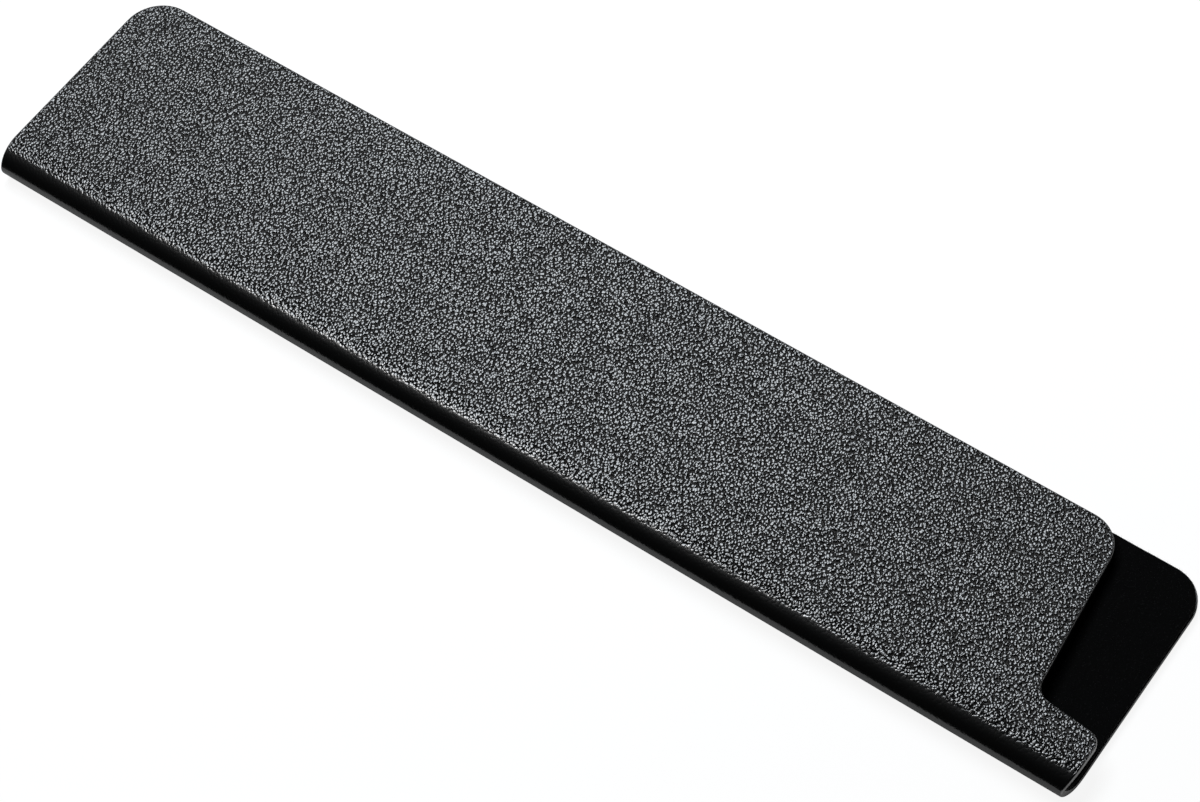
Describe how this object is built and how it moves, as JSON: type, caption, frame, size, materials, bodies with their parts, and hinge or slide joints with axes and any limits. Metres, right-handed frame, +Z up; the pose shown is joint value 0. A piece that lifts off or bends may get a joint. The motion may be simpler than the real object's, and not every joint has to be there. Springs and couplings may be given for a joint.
{
  "type": "knife blade guard",
  "caption": "Folded black plastic sleeve lined with felt that slides over a knife blade, notched at the heel end.",
  "frame": {"origin": "under the middle of the guard, on the plane that the back wall lies on", "axes": "+X along the guard to its notched heel end, +Y from the bend to the open mouth, +Z up through both walls"},
  "size_m": [0.22, 0.0442, 0.006],
  "materials": {
    "grained_sheet": "black, fine pebble grain",
    "adhesive_film": "clear amber adhesive",
    "felt": "black short-pile felt"
  },
  "bodies": {
    "back_half": {"back_wall": "grained_sheet", "back_bond_film": "adhesive_film", "back_felt": "felt", "spine_bend": "grained_sheet", "bend_bond_film": "adhesive_film", "bend_felt": "felt"},
    "front_half": {"front_wall": "grained_sheet", "front_bond_film": "adhesive_film", "front_felt": "felt"}
  },
  "joints": [
    {"name": "mouth_spread", "type": "hinge", "parent": "back_half", "child": "front_half", "pos_m": [0, -0.0199, 0.003], "axis": [1, 0, 0], "range_deg": [0, 12], "stiffness_Nm_per_rad": 4, "deforming": ["spine_bend", "bend_bond_film", "bend_felt"]}
  ]
}
